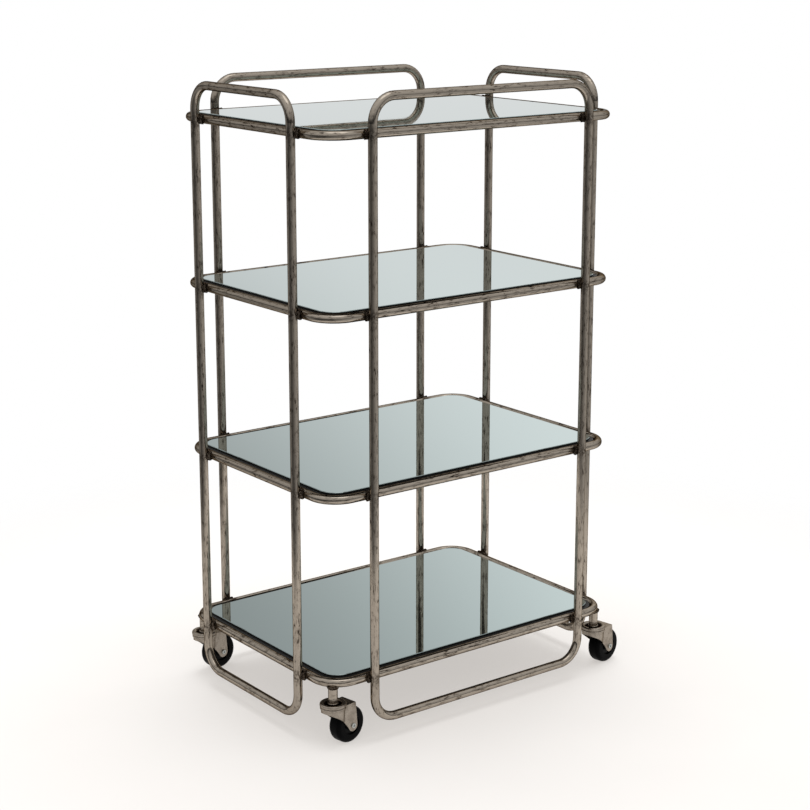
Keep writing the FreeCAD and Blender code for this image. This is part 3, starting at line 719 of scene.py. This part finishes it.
class CartStageSettings(bpy.types.PropertyGroup):
    """Floor, light and camera."""
    paper_dark: colour_setting("Dark paper", "Floor, darker patches", "A2A1A0")
    paper_light: colour_setting("Light paper", "Floor, lighter patches", "A8A7A6")
    glow_tint: colour_setting("Glow tint", "Light the floor gives off", "E9E4DF")
    floor_radius: FloatProperty(
        name="Floor radius", description="Radius of the pale floor", default=1.9, min=1.0,
        unit="LENGTH")
    fade_start: FloatProperty(
        name="Fade start", description="Where the floor starts to fade, as a share of its radius",
        default=0.42, min=0.0, max=1.0, subtype="FACTOR")
    fade_end: FloatProperty(
        name="Fade end", description="Where the floor has faded out, as a share of its radius",
        default=0.97, min=0.0, max=1.0, subtype="FACTOR")
    floor_glow: FloatProperty(
        name="Floor glow", description="Light the floor gives off, which lifts its shadows",
        default=0.65, min=0.0, subtype="NONE")
    floor_thinning: FloatProperty(
        name="Floor thinning", description="How much of the floor is left out of reflections",
        default=0.42, min=0.0, max=1.0, subtype="FACTOR")
    softbox_size: FloatProperty(
        name="Softbox size", description="Side of the overhead softbox", default=2.4, min=0.1,
        unit="LENGTH")
    softbox_place: FloatVectorProperty(
        name="Softbox place", description="Centre of the overhead softbox", subtype="XYZ", size=3,
        default=(0.3, 0.4, 3.6))
    softbox_aim: FloatVectorProperty(
        name="Softbox aim", description="Point that the softbox faces", subtype="XYZ", size=3,
        default=(0.0, 0.0, 0.6))
    top_light: FloatProperty(
        name="Top light", description="Power of the overhead softbox, in watts", default=100.0,
        min=0.0, subtype="NONE")
    soft_light: FloatProperty(
        name="Soft light", description="Even light from all round on matt surfaces", default=0.9,
        min=0.0, subtype="NONE")
    backdrop_side: FloatProperty(
        name="Backdrop side", description="Compass direction of the lit backdrop, in degrees",
        default=143.0, subtype="NONE")
    light_side: FloatProperty(
        name="Light side", description="Compass direction of the room's lighter side, in degrees",
        default=80.0, subtype="NONE")
    room_dark: FloatProperty(
        name="Dark horizon", description="Level of the room's darkest wall", default=0.07,
        min=0.0, subtype="NONE")
    room_light: FloatProperty(
        name="Light horizon", description="Level of the room's lightest wall", default=0.5,
        min=0.0, subtype="NONE")
    ceiling_light: FloatProperty(
        name="Ceiling light", description="Level high on the walls and ceiling", default=0.68,
        min=0.0, subtype="NONE")
    ceiling_dark: FloatProperty(
        name="Dark ceiling", description="Depth of the unlit ceiling behind the cart",
        default=0.64, min=0.0, max=1.0, subtype="FACTOR")
    camera_azimuth: FloatProperty(
        name="Camera azimuth", description="Direction of the camera round the cart, in degrees",
        default=-37.238, subtype="NONE")
    camera_tilt: FloatProperty(
        name="Camera tilt", description="Downward tilt of the camera, in degrees",
        default=13.094, subtype="NONE")
    camera_distance: FloatProperty(
        name="Camera distance", description="From the aim point", default=4.1226, min=0.1,
        unit="LENGTH")
    camera_aim: FloatVectorProperty(
        name="Camera aim", description="Point on the lens axis", subtype="XYZ", size=3,
        default=(CART_CENTRE.x + 0.0203, CART_CENTRE.y + 0.0059, 0.7129))
    camera_lens: FloatProperty(
        name="Focal length", description="In millimetres on a 36 mm sensor", default=82.259,
        min=10.0, subtype="NONE")
    camera_shift: FloatProperty(
        name="Lens shift", description="Vertical shift, as a share of the width", default=-0.05,
        subtype="NONE")


# ---- Operators -------------------------------------------------------------
class OBJECT_OT_cart_tube_finish(bpy.types.Operator):
    """Aged nickel on the loops, shelf frames and caster sleeves"""
    bl_idname = "object.cart_tube_finish"
    bl_label = "Tube finish"

    def execute(self, context):
        finish = context.scene.cart_finish
        finish_nodes(LOOPS, loop_nickel(finish))
        shelves = ["shelf_frame_" + n for n in SHELVES]
        finish_nodes(shelves + ["caster_sleeve_" + p for p in PLACES], shelf_nickel(finish))
        return {"FINISHED"}


class OBJECT_OT_cart_welds(bpy.types.Operator):
    """Rippled weld beads where the loops and sleeves meet the frames"""
    bl_idname = "object.cart_welds"
    bl_label = "Weld beads"

    def execute(self, context):
        material = weld_steel(context.scene.cart_finish)
        for n in SHELVES:
            rippled_welds("weld_beads_" + n, context.scene.cart_welds, material)
        return {"FINISHED"}


class OBJECT_OT_cart_shelf_finish(bpy.types.Operator):
    """Mirrors, backing boards and tabs"""
    bl_idname = "object.cart_shelf_finish"
    bl_label = "Shelf finish"

    def execute(self, context):
        finish = context.scene.cart_finish
        finish_nodes(["mirror_" + n for n in SHELVES], mirror_glass(finish))
        finish_nodes(["backing_board_" + n for n in SHELVES], black_board(finish))
        finish_nodes(["support_tabs_" + n for n in SHELVES], tab_steel(finish))
        return {"FINISHED"}


class OBJECT_OT_cart_caster_finish(bpy.types.Operator):
    """Plated forks, zinc bolts, rubber tyres and nylon hubs"""
    bl_idname = "object.cart_caster_finish"
    bl_label = "Caster finish"

    def execute(self, context):
        finish = context.scene.cart_finish
        plated = [kind + p for kind in ("caster_stem_", "top_race_", "fork_") for p in PLACES]
        finish_nodes(plated, caster_nickel(finish))
        bolted = [kind + p for kind in ("axle_bolt_", "axle_nut_") for p in PLACES]
        finish_nodes(bolted, zinc_bolt(finish))
        finish_nodes(["ball_ring_" + p for p in PLACES], ball_steel(finish))
        finish_nodes(["tyre_" + p for p in PLACES], black_rubber(finish))
        finish_nodes(["hub_" + p for p in PLACES], black_plastic(finish))
        return {"FINISHED"}


class OBJECT_OT_cart_stage(bpy.types.Operator):
    """Pale floor, soft studio light and camera"""
    bl_idname = "object.cart_stage"
    bl_label = "Stage"

    def execute(self, context):
        stage = context.scene.cart_stage
        build_world(stage)
        build_floor(stage)
        add_softbox(stage)
        add_camera(stage)
        context.scene.view_settings.view_transform = "Standard"
        return {"FINISHED"}


class VIEW3D_PT_cart(bpy.types.Panel):
    """Lists the steps that dress the cart, and their settings"""
    bl_label = "Bar cart"
    bl_idname = "VIEW3D_PT_cart"
    bl_space_type = "VIEW_3D"
    bl_region_type = "UI"
    bl_category = "Bar cart"

    def draw(self, context):
        column = self.layout.column()
        for step in STEPS:
            column.operator(step.bl_idname)
        for key, group in SETTINGS.items():
            for name in group.__annotations__:
                column.prop(getattr(context.scene, key), name)


SETTINGS = {
    "cart_finish": CartFinishSettings,
    "cart_welds": CartWeldSettings,
    "cart_stage": CartStageSettings,
}
STEPS = (
    OBJECT_OT_cart_tube_finish,
    OBJECT_OT_cart_welds,
    OBJECT_OT_cart_shelf_finish,
    OBJECT_OT_cart_caster_finish,
    OBJECT_OT_cart_stage,
)
CLASSES = tuple(SETTINGS.values()) + STEPS + (VIEW3D_PT_cart,)


def register():
    """Registers the classes and the settings."""
    for each in CLASSES:
        bpy.utils.register_class(each)
    for key, group in SETTINGS.items():
        setattr(bpy.types.Scene, key, PointerProperty(type=group))


def unregister():
    """Removes what register added."""
    for key in SETTINGS:
        delattr(bpy.types.Scene, key)
    for each in reversed(CLASSES):
        bpy.utils.unregister_class(each)


def main():
    """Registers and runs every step."""
    register()
    bpy.ops.object.cart_tube_finish()
    bpy.ops.object.cart_welds()
    bpy.ops.object.cart_shelf_finish()
    bpy.ops.object.cart_caster_finish()
    bpy.ops.object.cart_stage()


if __name__ == "__main__":
    main()
